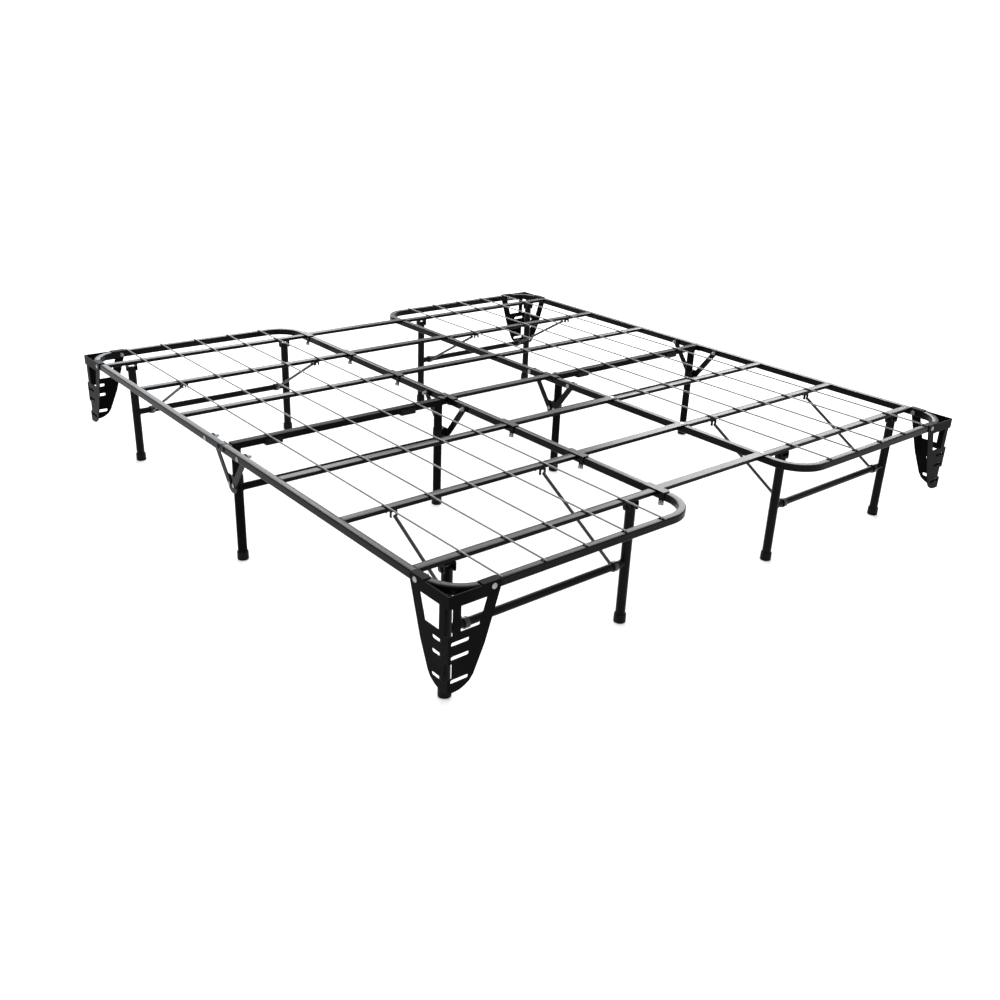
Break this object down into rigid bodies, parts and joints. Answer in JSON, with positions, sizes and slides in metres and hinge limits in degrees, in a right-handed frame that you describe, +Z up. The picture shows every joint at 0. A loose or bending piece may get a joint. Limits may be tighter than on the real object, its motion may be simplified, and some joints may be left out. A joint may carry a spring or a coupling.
{
  "type": "metal bed frame",
  "caption": "Folding steel platform bed frame with two wire-deck modules, folding end legs with brace rods, hinged middle legs and slotted headboard brackets.",
  "frame": {"origin": "on the floor under the middle of the deck", "axes": "+Y towards the head end, +Z up, +X across the bed"},
  "size_m": [1.9404, 2.0224, 0.3535],
  "materials": {
    "black_paint": "glossy black powder coat",
    "deck_wire": "thin grey-looking painted wire",
    "black_plastic": "matt black moulded plastic",
    "zinc": "bright zinc plated",
    "brace_steel": "glossy painted rod"
  },
  "bodies": {
    "foot_half": {"foot_bracket_bolts": "zinc", "foot_bracket_left": "black_paint", "foot_bracket_nuts": "zinc", "foot_bracket_right": "black_paint", "foot_centre_saddles": "black_paint", "foot_cross_bars": "black_paint", "foot_deck_wires": "deck_wire", "foot_joining_bars": "black_paint", "foot_joining_bolts": "zinc", "foot_joining_knobs": "zinc", "foot_leg_hangers": "black_paint", "foot_leg_rivets": "zinc", "foot_link_bolts": "zinc", "foot_link_nuts": "zinc", "foot_rail_left": "black_paint", "foot_rail_right": "black_paint", "foot_rod_clips": "black_paint"},
    "head_half": {"head_bracket_bolts": "zinc", "head_bracket_left": "black_paint", "head_bracket_nuts": "zinc", "head_bracket_right": "black_paint", "head_centre_saddles": "black_paint", "head_cross_bars": "black_paint", "head_deck_wires": "deck_wire", "head_joining_bars": "black_paint", "head_joining_bolts": "zinc", "head_joining_knobs": "zinc", "head_leg_hangers": "black_paint", "head_leg_rivets": "zinc", "head_link_bolts": "zinc", "head_link_nuts": "zinc", "head_rail_left": "black_paint", "head_rail_right": "black_paint", "head_rod_clips": "black_paint"},
    "middle_legs": {"centre_joining_bar": "black_paint", "fold_rivets": "black_paint", "fold_saddles": "black_plastic", "fold_wires": "deck_wire", "hinge_plates": "black_paint", "middle_caps": "black_plastic", "middle_frame_left": "black_paint", "middle_frame_right": "black_paint"},
    "link_sliders": {"link_sliders": "black_paint"},
    "foot_links": {"foot_fold_links": "black_paint", "foot_link_rivets": "zinc"},
    "head_links": {"head_fold_links": "black_paint", "head_link_rivets": "zinc"},
    "foot_legs_left": {"foot_leg_frame_left": "black_paint", "foot_caps_left": "black_plastic"},
    "foot_rods_left": {"foot_brace_rods_left": "brace_steel"},
    "foot_legs_right": {"foot_leg_frame_right": "black_paint", "foot_caps_right": "black_plastic"},
    "foot_rods_right": {"foot_brace_rods_right": "brace_steel"},
    "head_legs_left": {"head_leg_frame_left": "black_paint", "head_caps_left": "black_plastic"},
    "head_rods_left": {"head_brace_rods_left": "brace_steel"},
    "head_legs_right": {"head_leg_frame_right": "black_paint", "head_caps_right": "black_plastic"},
    "head_rods_right": {"head_brace_rods_right": "brace_steel"}
  },
  "joints": [
    {"name": "centre_fold", "type": "hinge", "parent": "foot_half", "child": "middle_legs", "pos_m": [0, -0.016, 0.341], "axis": [1, 0, 0], "range_deg": [0, 90]},
    {"name": "head_fold", "type": "hinge", "parent": "middle_legs", "child": "head_half", "pos_m": [0, 0.016, 0.341], "axis": [1, 0, 0], "range_deg": [0, 90]},
    {"name": "slider_lift", "type": "slide", "parent": "middle_legs", "child": "link_sliders", "axis": [0, 0, 1], "range_m": [0, 0.05323]},
    {"name": "foot_link_turn", "type": "hinge", "parent": "foot_half", "child": "foot_links", "pos_m": [0, -0.095, 0.339], "axis": [1, 0, 0], "range_deg": [0, 55.32]},
    {"name": "head_link_turn", "type": "hinge", "parent": "head_half", "child": "head_links", "pos_m": [0, 0.095, 0.339], "axis": [1, 0, 0], "range_deg": [-55.32, 0]},
    {"name": "foot_leg_fold_left", "type": "hinge", "parent": "foot_half", "child": "foot_legs_left", "pos_m": [0, -0.866, 0.323], "axis": [1, 0, 0], "range_deg": [0, 85.5]},
    {"name": "foot_rod_turn_left", "type": "hinge", "parent": "foot_legs_left", "child": "foot_rods_left", "pos_m": [0, -0.866, 0.171], "axis": [1, 0, 0], "range_deg": [-116, 0]},
    {"name": "foot_leg_fold_right", "type": "hinge", "parent": "foot_half", "child": "foot_legs_right", "pos_m": [0, -0.866, 0.323], "axis": [1, 0, 0], "range_deg": [0, 85.5]},
    {"name": "foot_rod_turn_right", "type": "hinge", "parent": "foot_legs_right", "child": "foot_rods_right", "pos_m": [0, -0.866, 0.171], "axis": [1, 0, 0], "range_deg": [-116, 0]},
    {"name": "head_leg_fold_left", "type": "hinge", "parent": "head_half", "child": "head_legs_left", "pos_m": [0, 0.866, 0.323], "axis": [-1, 0, 0], "range_deg": [0, 85.5]},
    {"name": "head_rod_turn_left", "type": "hinge", "parent": "head_legs_left", "child": "head_rods_left", "pos_m": [0, 0.866, 0.171], "axis": [-1, 0, 0], "range_deg": [-116, 0]},
    {"name": "head_leg_fold_right", "type": "hinge", "parent": "head_half", "child": "head_legs_right", "pos_m": [0, 0.866, 0.323], "axis": [-1, 0, 0], "range_deg": [0, 85.5]},
    {"name": "head_rod_turn_right", "type": "hinge", "parent": "head_legs_right", "child": "head_rods_right", "pos_m": [0, 0.866, 0.171], "axis": [-1, 0, 0], "range_deg": [-116, 0]}
  ],
  "couplings": [
    {"joint": "head_fold", "follows": "centre_fold", "ratio": 1},
    {"joint": "slider_lift", "follows": "centre_fold", "m_per_rad": 0.033822},
    {"joint": "foot_link_turn", "follows": "centre_fold", "ratio": 0.61358},
    {"joint": "head_link_turn", "follows": "centre_fold", "ratio": -0.61358},
    {"joint": "foot_rod_turn_left", "follows": "foot_leg_fold_left", "ratio": -1.3544},
    {"joint": "foot_rod_turn_right", "follows": "foot_leg_fold_right", "ratio": -1.3544},
    {"joint": "head_rod_turn_left", "follows": "head_leg_fold_left", "ratio": -1.3544},
    {"joint": "head_rod_turn_right", "follows": "head_leg_fold_right", "ratio": -1.3544}
  ]
}
